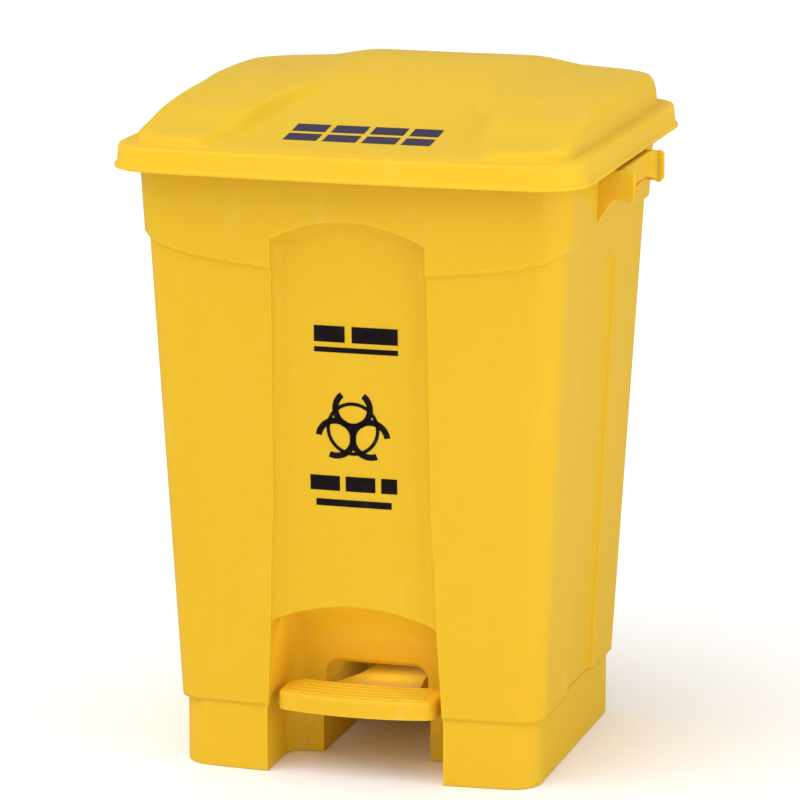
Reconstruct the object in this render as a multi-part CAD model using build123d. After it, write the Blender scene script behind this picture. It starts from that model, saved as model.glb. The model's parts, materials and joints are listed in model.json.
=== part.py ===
"""Pedal-operated waste bin of the 45 litre class: tapered moulded shell on a legged plinth,
hinged lid, foot pedal, and a bent wire rod behind the shell that carries the pedal's motion to the lid.

Frame: +Z up, -Y towards the pedal, origin on the floor at the centre of the lid's outline. Millimetres.
"""

import math
import os

from build123d import *

# ---- driving dimensions ----
LID_HALF_X, LID_HALF_Y = 205.0, 199.3      # lid outline at its lip
LID_CORNER = 42.0
LIP_Z, RIM_Z = 521.7, 539.0                # bottom of the lid's lip, top of its rim
LID_WALL = 2.5
# lid crown: shoulder as y, z at the side and rise at the middle; ramp as y, z; ramp outline as y, half width
SHOULDER = ((-186, 548, 0), (-165, 551.5, 0), (-145, 553, 0), (-97, 563, 2), (-27, 568, 5), (46, 571, 7),
            (107, 570, 7), (186, 566, 7))
RAMP = ((-186, 544), (-150, 546.5), (-118, 550.5), (-60, 559), (-10, 569), (35, 577), (100, 582), (186, 577))
RAMP_PLAN = ((-190, 130), (-155, 112), (-110, 100), (-50, 90), (-10, 73), (35, 66), (120, 80), (190, 88))
FRONT_BOW = 8.0                            # how far the front bulges between its corners

WALL = 3.0                                 # moulded wall
PLINTH_HALF_X = 156.6
PLINTH_FRONT, PLINTH_BACK = -147.0, 134.8
PLINTH_TOP = 57.6
PLINTH_CORNER = 26.0
PLINTH_RIB_Y = (-20.0, 20.0, 105.0)        # front faces of the ribs inside each leg block

SHELL_TOP = 533.0
SHELL_LOW_X, SHELL_TOP_X = 165.0, 188.9    # half widths at the plinth and at the rim
SHELL_LOW_FRONT, SHELL_TOP_FRONT = -151.6, -170.4
SHELL_LOW_BACK, SHELL_TOP_BACK = 138.8, 166.0
SHELL_CORNER = 28.0
FLOOR_Z = 96.0                             # underside of the bucket's floor
COLLAR_Z, COLLAR_DEEP = 464.0, 4.0         # lower edge of the proud collar and its step
COLLAR_DIP = ((176, 464), (168, 457.6), (153, 453.6), (140, 450), (108, 446), (68, 442))  # front, x and z

PANEL_HALF_TOP, PANEL_HALF_LOW = 67.0, 75.0   # recessed front panel
PANEL_SHOULDER_Z, PANEL_APEX_Z = 466.0, 484.0
PANEL_DEEP = 9.0
SIDE_PANEL_Y = (-49.0, 44.0)
SIDE_PANEL_TOP, SIDE_PANEL_DEEP = 433.0, 8.5

NICHE_HALF, NICHE_BACK = 76.0, -78.0       # foot niche over the pedal
NICHE_SHOULDER_Z, NICHE_APEX_Z = 131.0, 149.0
TUNNEL_HALF = 48.0                         # passage for the lever under the floor
OPENING_HALF, OPENING_TOP, OPENING_CORNER = 46.0, 83.0, 12.0

HANDLE_Y = (-56.0, 55.0)
HANDLE_X, GRIP_X = 218.0, 208.0            # outer faces of its end lugs and of its grip
HANDLE_TOP, HANDLE_LOW, GRIP_LOW, GUSSET_LOW = 519.0, 493.0, 497.0, 465.0

HINGE_Y, HINGE_Z = 186.0, 524.0            # lid hinge axis, along X
OPEN_DEG = 75.0
PIN_R, RUN = 3.0, 0.05                     # hinge pin and running clearance
EAR_X, KNUCKLE_X = (112.0, 117.0, 137.0, 142.0), (118.0, 136.0)
KNUCKLE_R = 6.5                            # round ends of the hinge's ears and knuckles
CRANK_R, CRANK_X = 14.0, (86.0, 92.0)
CRANK_EAR_R, CRANK_SLOT_R = 6.2, 3.2       # the crank's round end, and the half width of the rod's slot
CRANK_SLOT = 4.2                           # play along the crank that the slot gives the rod
ROD_R, ROD_X = 2.5, 78.0

PIVOT_Z, PIVOT_R = 47.0, 4.0               # pedal axle
LEVER_REAR = 86.0                          # from the pedal axle to the rod's cross bar
ROD_LEAN = 3.7                             # degrees the rod leans back
PEDAL_HALF, PEDAL_FRONT, PEDAL_BACK = 70.0, -153.0, -102.0
PEDAL_Z = (55.4, 71.4)
NECK_HALF_FRONT, NECK_HALF = 43.0, 29.0
SCREW_R, SCREW_HEAD_R = 2.0, 4.0
GUIDE_Z = {"lower": 190.0, "upper": 420.0}
BOSSES = ((-112, -92), (112, -92), (-112, 96), (112, 96))

# the rod slides along its own lean; crank and lever both swing evenly about square to it
lean = math.radians(ROD_LEAN)
half_open = math.radians(OPEN_DEG / 2)
crank_low = half_open - lean
CRANK_Y = HINGE_Y - CRANK_R * math.cos(crank_low)
CRANK_Z = HINGE_Z - CRANK_R * math.sin(crank_low)
lift = 2 * CRANK_R * math.sin(half_open)
lever_half = math.asin(lift / 2 / LEVER_REAR)
lever_low = lever_half + lean
BAR_Z = PIVOT_Z - LEVER_REAR * math.sin(lever_low)
BAR_Y = CRANK_Y - (CRANK_Z - BAR_Z) * math.tan(lean)
PIVOT_Y = BAR_Y - LEVER_REAR * math.cos(lever_low)


def save(node, shape):
    """Write one node's solids to its STEP file."""
    export_step(shape, f"parts/{node}.step")


def outline(half_x, front, back, corner, z, bow=FRONT_BOW):
    """Rounded outline, bowed at the front, as a wire at height z."""
    corner_front = front + bow
    with BuildSketch(Plane.XY.offset(z)) as sk:
        with BuildLine():
            Polyline((half_x, corner_front), (half_x, back), (-half_x, back), (-half_x, corner_front))
            ThreePointArc((-half_x, corner_front), (0, front), (half_x, corner_front))
        make_face()
        fillet(sk.vertices(), corner)
    return sk.sketch.faces()[0]


def tapered(z0, z1, inset=0.0):
    """Solid of the shell's tapered outline between two heights, taken in by inset."""
    faces = []
    for z in (z0, z1):
        faces.append(outline(
            along_wall(SHELL_LOW_X, SHELL_TOP_X, z) - inset,
            along_wall(SHELL_LOW_FRONT, SHELL_TOP_FRONT, z) + inset,
            along_wall(SHELL_LOW_BACK, SHELL_TOP_BACK, z) - inset,
            SHELL_CORNER - inset, z))
    return loft(faces)


def along_wall(low, top, z):
    """One of the shell's tapering measures at height z."""
    return low + (z - PLINTH_TOP) / (SHELL_TOP - PLINTH_TOP) * (top - low)


def prism_x(points, x0, x1):
    """Solid with its profile given in (y, z), from x0 to x1."""
    face = make_face(Polyline(*[(0, y, z) for y, z in points], close=True))
    return Pos(x0, 0, 0) * extrude(face, amount=x1 - x0, dir=(1, 0, 0))


def rod_x(radius, x0, x1, y, z):
    """Cylinder along X."""
    return Pos((x0 + x1) / 2, y, z) * Rot(0, 90, 0) * Cylinder(radius, abs(x1 - x0))


def link(half, y0, z0, y1, z1, x0, x1):
    """Round-ended bar between two points given in (y, z), from x0 to x1."""
    length = math.hypot(y1 - y0, z1 - z0)
    across_y, across_z = (z1 - z0) / length * half, (y0 - y1) / length * half
    bar = prism_x([(y0 + across_y, z0 + across_z), (y0 - across_y, z0 - across_z),
                   (y1 - across_y, z1 - across_z), (y1 + across_y, z1 + across_z)], min(x0, x1), max(x0, x1))
    return bar + rod_x(half, x0, x1, y0, z0) + rod_x(half, x0, x1, y1, z1)


def block(x0, x1, y0, y1, z0, z1):
    """Box between two corners."""
    return Pos((x0 + x1) / 2, (y0 + y1) / 2, (z0 + z1) / 2) * Box(abs(x1 - x0), abs(y1 - y0), abs(z1 - z0))


def both_sides(shape):
    """A shape and its mirror image across the bin's middle plane."""
    return shape + mirror(shape, Plane.YZ)


def arch_face(half_low, half_top, z_low, z_shoulder, z_apex, y):
    """Upright arch in the plane at y."""
    plane = Plane(origin=(0, y, 0), x_dir=(1, 0, 0), z_dir=(0, -1, 0))
    with BuildSketch(plane) as sk:
        with BuildLine():
            Polyline((half_top, z_shoulder), (half_low, z_low), (-half_low, z_low), (-half_top, z_shoulder))
            ThreePointArc((-half_top, z_shoulder), (0, z_apex), (half_top, z_shoulder))
        make_face()
    return sk.sketch.faces()[0]


def arch_block(half_low, half_top, z_low, z_shoulder, z_apex, y0, y1):
    """Arch extruded along Y."""
    return extrude(arch_face(half_low, half_top, z_low, z_shoulder, z_apex, y0), amount=y1 - y0, dir=(0, 1, 0))


def niche(grow=0.0):
    """The foot niche as a solid: an arch whose ceiling comes down towards the back wall."""
    front = arch_face(NICHE_HALF + grow, NICHE_HALF - 9 + grow, 0, NICHE_SHOULDER_Z + grow,
                      NICHE_APEX_Z + grow, -175)
    back = arch_face(NICHE_HALF - 1 + grow, NICHE_HALF - 6 + grow, 0, NICHE_SHOULDER_Z - 27 + grow,
                     NICHE_APEX_Z - 37 + grow, NICHE_BACK + grow)
    return loft([front, back])


def handle():
    """Side grip on +X: a ledge with a turned-down grip between two gusseted end lugs."""
    y0, y1 = HANDLE_Y
    inner = 180.0
    ledge = block(inner, GRIP_X, y0, y1, HANDLE_TOP - WALL, HANDLE_TOP)
    grip = block(GRIP_X - WALL, GRIP_X, y0, y1, GRIP_LOW, HANDLE_TOP)
    lug_face = make_face(Polyline(
        (inner, 0, GUSSET_LOW), (199, 0, 489), (203, 0, HANDLE_LOW), (HANDLE_X, 0, HANDLE_LOW),
        (HANDLE_X, 0, HANDLE_TOP), (inner, 0, HANDLE_TOP), close=True))
    lugs = []
    for y in (y0, y1 - 4):
        lugs.append(Pos(0, y, 0) * extrude(lug_face, amount=4, dir=(0, 1, 0)))
    webs = []
    for y, way in ((y0 + 4, 1), (y1 - 4, -1)):
        web = make_face(Polyline((GRIP_X - WALL, y, HANDLE_LOW), (HANDLE_X, y, HANDLE_LOW),
                                 (GRIP_X - WALL, y + way * 13, HANDLE_LOW), close=True))
        webs.append(extrude(web, amount=HANDLE_TOP - HANDLE_LOW, dir=(0, 0, 1)))
    return ledge + grip + lugs + webs


def bin_body():
    """The bucket shell with its floor, front collar, panels, niche, side handles and hinge ears."""
    outer = tapered(PLINTH_TOP, SHELL_TOP)
    cavity = tapered(FLOOR_Z + WALL, SHELL_TOP + 1, WALL)
    under = tapered(PLINTH_TOP - 1, FLOOR_Z, WALL)

    # below the collar the wall steps back all round; on the front the collar's edge dips
    dip = [(x, -230, z) for x, z in COLLAR_DIP]
    dip = dip + [(-x, y, z) for x, y, z in reversed(dip)]
    dip_face = make_face(Polyline(*dip, (-176, -230, 480), (176, -230, 480), close=True))
    dip = extrude(dip_face, amount=112, dir=(0, 1, 0))
    below = block(-250, 250, -250, 250, 0, COLLAR_Z) - dip
    skin = tapered(PLINTH_TOP - 1, COLLAR_Z + 1, -20) - tapered(PLINTH_TOP - 2, COLLAR_Z + 2, COLLAR_DEEP)
    outer = outer - (skin & below)

    # the wall behind the set-back skin and the recessed panels keeps its thickness
    lining = tapered(PLINTH_TOP, COLLAR_Z + WALL) - tapered(PLINTH_TOP - 1, COLLAR_Z + 5, COLLAR_DEEP + WALL)
    panel = arch_block(PANEL_HALF_LOW, PANEL_HALF_TOP, 0, PANEL_SHOULDER_Z, PANEL_APEX_Z, -200, -100)
    panel_cut = panel - tapered(PLINTH_TOP - 1, PANEL_APEX_Z + 1, PANEL_DEEP + COLLAR_DEEP)
    panel_lining = arch_block(PANEL_HALF_LOW + WALL, PANEL_HALF_TOP + WALL, 0, PANEL_SHOULDER_Z + WALL,
                              PANEL_APEX_Z + WALL, -200, -100)
    panel_lining = panel_lining & tapered(PLINTH_TOP, PANEL_APEX_Z + WALL, 0)
    panel_lining = panel_lining - tapered(PLINTH_TOP - 1, PANEL_APEX_Z + 2 * WALL,
                                          PANEL_DEEP + COLLAR_DEEP + WALL)

    y0, y1 = SIDE_PANEL_Y
    side = block(100, 230, y0, y1, 0, SIDE_PANEL_TOP)
    side_cut = side - tapered(PLINTH_TOP - 1, SIDE_PANEL_TOP + 1, SIDE_PANEL_DEEP)
    side_lining = block(100, 230, y0 - WALL, y1 + WALL, 0, SIDE_PANEL_TOP + WALL)
    side_lining = side_lining & tapered(PLINTH_TOP, SIDE_PANEL_TOP + WALL, 0)
    side_lining = side_lining - tapered(PLINTH_TOP - 1, SIDE_PANEL_TOP + 2 * WALL, SIDE_PANEL_DEEP + WALL)

    hollow = cavity - lining - panel_lining - both_sides(side_lining) - niche(WALL)
    skirt_hollow = under - lining - panel_lining - both_sides(side_lining) - niche(WALL)
    body = outer - hollow - skirt_hollow - panel_cut - both_sides(side_cut) - niche()

    # tunnel walls under the floor, the lever's opening in the niche and its slot at the back
    tunnel_side = block(TUNNEL_HALF, TUNNEL_HALF + WALL, NICHE_BACK + WALL, 137, PLINTH_TOP, FLOOR_Z + 1)
    body = body + both_sides(tunnel_side)
    way_in = arch_block(OPENING_HALF, OPENING_HALF, 0, OPENING_TOP - 4, OPENING_TOP, -90, -60)
    slot = block(-40, 40, 120, 160, 0, 82)
    body = body - way_in - slot

    body = body + both_sides(handle() - tapered(300, SHELL_TOP, 1))

    ears = []
    for x0, x1 in ((EAR_X[0], EAR_X[1]), (EAR_X[2], EAR_X[3])):
        plate = prism_x([(160, 478), (160, 531), (HINGE_Y, 531), (HINGE_Y, 517), (180, 514)], x0, x1)
        ears.append(plate + rod_x(KNUCKLE_R, x0, x1, HINGE_Y, HINGE_Z))
    ear_group = both_sides(ears[0] + ears[1]) - tapered(470, SHELL_TOP, 1)
    body = body + ear_group
    for sign in (1, -1):
        body = body - rod_x(PIN_R + RUN, sign * 105, sign * 150, HINGE_Y, HINGE_Z)
    return body


def plinth():
    """Legged base: two hollow leg blocks, joined by a top plate and a low wall behind the tunnel."""
    outer = extrude(outline(PLINTH_HALF_X, PLINTH_FRONT, PLINTH_BACK, PLINTH_CORNER, 0), amount=PLINTH_TOP)
    hollow = extrude(outline(PLINTH_HALF_X - WALL, PLINTH_FRONT + WALL, PLINTH_BACK - WALL,
                             PLINTH_CORNER - WALL, -1), amount=PLINTH_TOP - WALL + 1)
    foot_room = block(-NICHE_HALF - 2, NICHE_HALF + 2, -200, NICHE_BACK, -1, PLINTH_TOP + 1)
    foot_room = fillet(foot_room.edges().filter_by(Axis.Z).group_by(Axis.Y)[-1], 16)
    foot_wall = block(-NICHE_HALF - 2 - WALL, NICHE_HALF + 2 + WALL, -200, NICHE_BACK + WALL, -2, PLINTH_TOP + 2)
    foot_wall = fillet(foot_wall.edges().filter_by(Axis.Z).group_by(Axis.Y)[-1], 16 + WALL)
    tunnel = block(-TUNNEL_HALF, TUNNEL_HALF, -120, PLINTH_BACK - WALL, -1, PLINTH_TOP + 1)
    tunnel_wall = block(-TUNNEL_HALF - WALL, TUNNEL_HALF + WALL, -120, PLINTH_BACK - WALL, -2, PLINTH_TOP + 2)
    base = outer - (hollow - foot_wall - tunnel_wall) - foot_room - tunnel
    base = base - block(-40, 40, 120, 150, 14, 80)
    for sign in (1, -1):
        boss = rod_x(11, sign * (TUNNEL_HALF + 1), sign * 66, PIVOT_Y, PIVOT_Z)
        base = base + (boss & block(-80, 80, 40, 80, 0, PLINTH_TOP))
        x0, x1 = sign * (TUNNEL_HALF + 1), sign * (PLINTH_HALF_X - 1)
        for y in PLINTH_RIB_Y:
            base = base + block(x0, x1, y, y + WALL, 8, PLINTH_TOP - 1)
        base = base - rod_x(PIVOT_R + RUN, sign * 40, sign * 80, PIVOT_Y, PIVOT_Z)
    return base


def shoulders(drop):
    """Solid under the two side shoulders, which rise towards the middle, lowered by drop."""
    base = RIM_Z - 3
    sections = []
    for x, crown in ((0, 1), (190, 0)):
        line = [(x, y, z + crown * up - drop) for y, z, up in SHOULDER]
        sections.append(make_face(Polyline((x, line[0][1], base), *line, (x, line[-1][1], base), close=True)))
    return both_sides(loft(sections, ruled=True))


def ramp(drop):
    """Solid under the ramp that climbs from the front rim to the middle of the crown."""
    base = RIM_Z - 3
    return prism_x([(RAMP[0][0], base)] + [(y, z - drop) for y, z in RAMP] + [(RAMP[-1][0], base)], -190, 190)


def ramp_plan(grow):
    """The ramp's outline seen from above, as an upright solid."""
    right = [(half + grow, y) for y, half in RAMP_PLAN]
    left = [(-x, y) for x, y in reversed(right)]
    return Pos(0, 0, RIM_Z - 10) * extrude(make_face(Polyline(*right, *left, close=True)), amount=100)


def lid_outer(inset=0.0):
    """Solid under the lid's outer surface: rim with its ledge, and the crown."""
    rim = extrude(outline(LID_HALF_X - 4 - inset, -LID_HALF_Y + 3.5 + inset, LID_HALF_Y - 3.5 - inset,
                          LID_CORNER - 4 - inset, LIP_Z - 2 * inset), amount=RIM_Z + 3.5 - LIP_Z + inset)
    column = extrude(outline(187 - inset, -183 + inset, 183 - inset, 34 - inset, RIM_Z - 3), amount=60)
    sides, slope = shoulders(inset), ramp(inset)
    crown = (sides - ramp_plan(inset)) + (slope & ramp_plan(-inset)) + (sides & slope)
    return rim + (column & crown)


def lid_shell():
    """The lid: flared lip, rim, crowned top, hinge knuckles and slotted crank ears."""
    lip = extrude(outline(LID_HALF_X, -LID_HALF_Y, LID_HALF_Y, LID_CORNER, LIP_Z), amount=4)
    lid = (lid_outer() + lip) - lid_outer(LID_WALL)

    parts = []
    for sign in (1, -1):
        x0, x1 = sign * KNUCKLE_X[0], sign * KNUCKLE_X[1]
        parts.append(rod_x(KNUCKLE_R, x0, x1, HINGE_Y, HINGE_Z) + block(x0, x1, 181, 194, HINGE_Z, RIM_Z + 1))
        x0, x1 = sign * CRANK_X[0], sign * CRANK_X[1]
        ear = link(CRANK_EAR_R, CRANK_Y, CRANK_Z, HINGE_Y, HINGE_Z, x0, x1)
        ear = ear + rod_x(KNUCKLE_R, x0, x1, HINGE_Y, HINGE_Z)
        parts.append(ear + block(x0, x1, 181, 194, HINGE_Z, RIM_Z + 1))
    for part in parts:
        lid = lid + part
    near_y = HINGE_Y - (CRANK_R - CRANK_SLOT) * math.cos(crank_low)
    near_z = HINGE_Z - (CRANK_R - CRANK_SLOT) * math.sin(crank_low)
    for sign in (1, -1):
        lid = lid - rod_x(PIN_R + RUN, sign * 100, sign * 150, HINGE_Y, HINGE_Z)
        lid = lid - link(CRANK_SLOT_R, CRANK_Y, CRANK_Z, near_y, near_z, sign * 80, sign * 100)
    # stiffening ribs under the rim ledge
    for x in (-150, -75, 0, 75, 150):
        lid = lid + block(x - 1, x + 1, -190, -176, RIM_Z - 5, RIM_Z + 1)
    return lid


def pedal():
    """Foot plate, neck and lever arm with its axle boss and the seat for the rod's cross bar."""
    z0, z1 = PEDAL_Z
    plate = extrude(outline(PEDAL_HALF, PEDAL_FRONT, PEDAL_BACK, 12, z0, 10), amount=z1 - z0)
    plate = fillet(plate.edges().group_by(Axis.Z)[-1], 4)
    under = outline(PEDAL_HALF - WALL, PEDAL_FRONT + WALL, PEDAL_BACK - WALL, 9, z0 - 1, 10)
    plate = plate - extrude(under, amount=z1 - z0 - WALL + 1)

    def arm_z(y):
        return PIVOT_Z + 4 + (PEDAL_Z[1] - 6 - PIVOT_Z - 4) * (PIVOT_Y - y) / (PIVOT_Y - PEDAL_BACK)

    neck_face = make_face(Polyline((NECK_HALF_FRONT, PEDAL_BACK - 1), (NECK_HALF, -27), (NECK_HALF, BAR_Y - 8),
                                   (-NECK_HALF, BAR_Y - 8), (-NECK_HALF, -27), (-NECK_HALF_FRONT, PEDAL_BACK - 1),
                                   close=True))
    tall = extrude(Pos(0, 0, 20) * neck_face, amount=60)
    top = prism_x([(PEDAL_BACK - 2, arm_z(PEDAL_BACK) - 3), (PEDAL_BACK - 2, arm_z(PEDAL_BACK)),
                   (PIVOT_Y, arm_z(PIVOT_Y)), (BAR_Y - 8, BAR_Z + 5), (BAR_Y - 8, BAR_Z + 2),
                   (PIVOT_Y, arm_z(PIVOT_Y) - 3)], -60, 60)
    lever = tall & top
    for sign in (1, -1):
        x0, x1 = sign * (NECK_HALF - 4), sign * NECK_HALF
        rib = prism_x([(PEDAL_BACK + 6, PEDAL_Z[0]), (PEDAL_BACK + 6, arm_z(PEDAL_BACK) - 2),
                       (PIVOT_Y, arm_z(PIVOT_Y) - 1), (BAR_Y - 8, BAR_Z + 4), (BAR_Y - 8, BAR_Z - 2),
                       (PIVOT_Y, PIVOT_Z - 8)], min(x0, x1), max(x0, x1))
        lever = lever + rib
        lever = lever + rod_x(8, sign * 20, sign * (TUNNEL_HALF - 0.5), PIVOT_Y, PIVOT_Z)
    seat = block(-24, 24, BAR_Y - 12, BAR_Y + 7, BAR_Z, BAR_Z + 6)
    lever = lever + seat
    shape = plate + lever
    shape = shape - rod_x(PIVOT_R + RUN, -60, 60, PIVOT_Y, PIVOT_Z)
    groove = ROD_R + 0.45
    shape = shape - rod_x(groove, -40, 40, BAR_Y - 0.2, BAR_Z)
    for sign in (1, -1):
        shape = shape - Pos(sign * 16, BAR_Y - 8, BAR_Z) * Cylinder(SCREW_R, 30)
    return shape


def bar_keeper():
    """Plate under the lever's end that holds the cross bar in its seat."""
    keeper = block(-24, 24, BAR_Y - 12, BAR_Y + 7, BAR_Z - 6, BAR_Z)
    groove = ROD_R + 0.45
    keeper = keeper - rod_x(groove, -40, 40, BAR_Y - 0.2, BAR_Z)
    for sign in (1, -1):
        keeper = keeper - Pos(sign * 16, BAR_Y - 8, BAR_Z) * Cylinder(SCREW_R, 30)
    return keeper


def screw(length):
    """Pan-head screw along Z with its head's underside at the origin, shank downwards."""
    head = Pos(0, 0, 1.2) * Cylinder(SCREW_HEAD_R, 2.4)
    head = fillet(head.edges().group_by(Axis.Z)[-1], 1.2)
    recess = Pos(0, 0, 2.2) * (Box(4, 0.9, 1.2) + Box(0.9, 4, 1.2))
    return head + Pos(0, 0, -length / 2) * Cylinder(SCREW_R - 0.02, length) - recess


def lift_rod():
    """Bent wire: cross bar under the lever's end, two legs up the back, ends turned out into the lid's cranks."""
    bend = 10.0
    end_x = CRANK_X[1] + 6
    path = FilletPolyline(
        (end_x, CRANK_Y, CRANK_Z), (ROD_X, CRANK_Y, CRANK_Z), (ROD_X, BAR_Y, BAR_Z),
        (-ROD_X, BAR_Y, BAR_Z), (-ROD_X, CRANK_Y, CRANK_Z), (-end_x, CRANK_Y, CRANK_Z),
        radius=[5.0, bend, bend, 5.0])
    start = Plane(origin=(end_x, CRANK_Y, CRANK_Z), z_dir=(-1, 0, 0))
    return sweep(start * Circle(ROD_R), path=path)


def lid_buffer(sign, y):
    """Rubber cap over the shell's rim that the lid's ledge rests on."""
    x0 = along_wall(SHELL_LOW_X, SHELL_TOP_X, SHELL_TOP)
    cap = block(sign * (x0 - WALL - 2.5), sign * (x0 + 4), y, y + 16, SHELL_TOP - 5, RIM_Z + 3.5 - LID_WALL - 0.05)
    cap = fillet(cap.edges().filter_by(Axis.Z), 1.5)
    groove = tapered(SHELL_TOP - 30, SHELL_TOP) - tapered(SHELL_TOP - 31, SHELL_TOP + 1, WALL)
    return cap - groove


def push_nut(hole, outer, x, y, z, thick=1.6):
    """Domed push-on retainer on a rod along X."""
    return rod_x(outer, x, x + thick, y, z) - rod_x(hole, x - 1, x + thick + 1, y, z)


def rod_guide(sign, z):
    """Clip on the back of the shell that the rod's leg slides in, centred at height z."""
    t = (z - BAR_Z) / (CRANK_Z - BAR_Z)
    y_rod = BAR_Y + t * (CRANK_Y - BAR_Y)
    y_wall = along_wall(SHELL_LOW_BACK, SHELL_TOP_BACK, z) - COLLAR_DEEP
    x = sign * ROD_X
    wall_lean = math.degrees(math.atan2(SHELL_TOP_BACK - SHELL_LOW_BACK, SHELL_TOP - PLINTH_TOP))
    base = Box(46, 3, 20)
    base = Pos(x, y_wall + 1.55, z) * Rot(-wall_lean, 0, 0) * base
    hub = Pos(x, y_rod, z) * Rot(-ROD_LEAN, 0, 0) * (Cylinder(6.2, 20) + Pos(0, -5, 0) * Box(9, 9, 20))
    hub = hub - Pos(x, y_wall - 10, z) * Rot(-wall_lean, 0, 0) * Box(60, 20.2, 60)
    guide = base + hub
    guide = guide - Pos(x, y_rod, z) * Rot(-ROD_LEAN, 0, 0) * Cylinder(ROD_R + 0.35, 60)
    screws = []
    for dx in (-17, 17):
        hole = Pos(x + dx, y_wall, z) * Rot(-90 - wall_lean, 0, 0) * Cylinder(SCREW_R, 12)
        guide = guide - hole
        screws.append(Pos(x + dx, y_wall, z) * Rot(-90 - wall_lean, 0, 0) * Pos(0, 0, 3.1) * screw(5.8))
    return guide, screws


def main():
    os.makedirs("parts", exist_ok=True)
    body = bin_body()
    guide_screws = []
    for level, z in GUIDE_Z.items():
        for side, sign in (("left", -1), ("right", 1)):
            guide, screws = rod_guide(sign, z)
            save(f"rod_guide_{level}_{side}", guide)
            guide_screws = guide_screws + screws
    for one in guide_screws:
        body = body - one
    base = plinth()
    base_screws = [Pos(x, y, PLINTH_TOP - WALL) * Rot(180, 0, 0) * screw(12) for x, y in BOSSES]
    for x, y in BOSSES:
        body = body + Pos(x, y, (PLINTH_TOP + FLOOR_Z) / 2 + 0.5) * Cylinder(6, FLOOR_Z - PLINTH_TOP + 1)
        hole = Pos(x, y, PLINTH_TOP) * Cylinder(SCREW_R, 30)
        body = body - hole
        base = base - hole
    save("bin_body", body)
    save("plinth", base)
    save("lid_shell", lid_shell())
    save("pedal", pedal())
    save("bar_keeper", bar_keeper())
    save("lift_rod", lift_rod())
    save("keeper_screws", Compound(children=[
        Pos(x, BAR_Y - 8, BAR_Z - 6) * Rot(180, 0, 0) * screw(11) for x in (-16, 16)]))
    save("plinth_screws", Compound(children=base_screws))
    save("lid_buffers", Compound(children=[lid_buffer(x, y) for x in (-1, 1) for y in (-110, 90)]))
    save("guide_screws", Compound(children=guide_screws))
    save("pedal_axle", rod_x(PIVOT_R, -70, 70, PIVOT_Y, PIVOT_Z))
    save("axle_push_nuts", Compound(children=[
        push_nut(PIVOT_R, 7, 66.2, PIVOT_Y, PIVOT_Z), push_nut(PIVOT_R, 7, -67.8, PIVOT_Y, PIVOT_Z)]))
    save("hinge_pin_left", rod_x(PIN_R, -144, -110, HINGE_Y, HINGE_Z) + rod_x(5, -146, -144, HINGE_Y, HINGE_Z))
    save("hinge_pin_right", rod_x(PIN_R, 110, 144, HINGE_Y, HINGE_Z) + rod_x(5, 144, 146, HINGE_Y, HINGE_Z))
    save("pin_push_nuts", Compound(children=[
        push_nut(PIN_R, 5, 110.1, HINGE_Y, HINGE_Z, 1.4), push_nut(PIN_R, 5, -111.5, HINGE_Y, HINGE_Z, 1.4)]))
    save("rod_push_nuts", Compound(children=[
        push_nut(ROD_R, 5.5, 93.5, CRANK_Y, CRANK_Z, 1.4), push_nut(ROD_R, 5.5, -94.9, CRANK_Y, CRANK_Z, 1.4)]))


if __name__ == "__main__":
    main()
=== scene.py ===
"""Finished model of a 45 litre class pedal bin for medical waste: an add-on's layout, run as a script."""

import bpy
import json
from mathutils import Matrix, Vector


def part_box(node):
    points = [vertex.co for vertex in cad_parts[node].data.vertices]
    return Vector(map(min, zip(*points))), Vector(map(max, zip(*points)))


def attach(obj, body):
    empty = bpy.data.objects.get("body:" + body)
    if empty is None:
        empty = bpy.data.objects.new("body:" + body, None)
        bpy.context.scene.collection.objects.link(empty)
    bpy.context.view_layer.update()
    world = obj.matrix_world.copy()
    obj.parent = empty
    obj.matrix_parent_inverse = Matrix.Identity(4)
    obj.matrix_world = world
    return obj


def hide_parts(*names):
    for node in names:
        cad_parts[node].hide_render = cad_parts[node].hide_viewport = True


bl_info = {
    "name": "Pedal waste bin",
    "version": (1, 0, 0),
    "blender": (4, 5, 0),
    "location": "3D View > Sidebar > Pedal bin",
    "description": "Builds the shell, lid, grips, prints and finishes of a pedal bin on its CAD frame",
    "category": "Object",
}

import json
import math

import bmesh
import bpy
from mathutils import Matrix, Vector

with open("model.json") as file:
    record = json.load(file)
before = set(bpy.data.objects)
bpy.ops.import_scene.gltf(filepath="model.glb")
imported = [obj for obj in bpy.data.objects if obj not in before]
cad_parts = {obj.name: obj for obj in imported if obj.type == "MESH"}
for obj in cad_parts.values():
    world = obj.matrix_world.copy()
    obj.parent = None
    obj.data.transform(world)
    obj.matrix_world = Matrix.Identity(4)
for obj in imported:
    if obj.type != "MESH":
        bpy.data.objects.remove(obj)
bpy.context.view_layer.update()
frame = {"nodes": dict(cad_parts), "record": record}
MM = 0.001

# ---- shell measures, millimetres in the frame of the CAD ----
PLINTH_TOP, SHELL_TOP = 57.6, 533.0
HALF_X = (165.0, 188.9)                    # at the plinth's top and at the rim
FRONT_Y, BACK_Y = (-151.6, -170.4), (138.8, 166.0)
CORNER, BOW = 28.0, 8.0
COLLAR_Z, COLLAR_STEP = 464.0, 4.0
WAY_IN_ROWS = 8                            # rows of the shell's grid below the top of the lever's way in
PANEL_LIP = 1.06                           # end of the rounded lip beside the panel, in panel half widths
COLLAR_EDGE = ((67, 442), (108, 446), (140, 450), (153, 453.6), (168, 458.5), (178, 464))
PANEL_HALF = ((57.6, 77.0), (133, 73.0), (190, 71.5), (233, 69.0), (466, 67.0), (533, 67.0))
PANEL_SHOULDER, PANEL_RISE, PANEL_INSET = 466.0, 18.0, 13.0
NICHE_SHOULDER, NICHE_RISE, NICHE_BACK = 133.0, 16.0, -78.0
WAY_IN_HALF, WAY_IN_TOP, WAY_IN_CORNER = 46.0, 83.0, 12.0
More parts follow.
